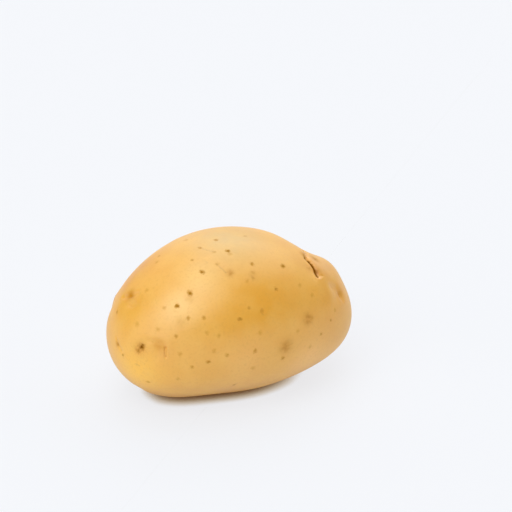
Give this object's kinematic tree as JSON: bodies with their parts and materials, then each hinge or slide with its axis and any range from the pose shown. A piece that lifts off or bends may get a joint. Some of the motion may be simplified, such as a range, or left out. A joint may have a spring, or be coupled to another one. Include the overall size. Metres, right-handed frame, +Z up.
{
  "type": "potato",
  "caption": "Whole raw table potato: a smooth oval tuber with shallow eyes, lying on a small flat spot of its belly.",
  "frame": {"origin": "under the middle of the tuber's box, on the surface that it rests on", "axes": "+X along the tuber towards its stem end, +Z up, -Y towards the side that shows two of its larger eyes"},
  "size_m": [0.0888, 0.0626, 0.0555],
  "materials": {
    "potato_skin": "thin washed yellow skin, satin, with brown lenticels and a few stains"
  },
  "bodies": {
    "root": {"potato": "potato_skin"}
  },
  "joints": []
}
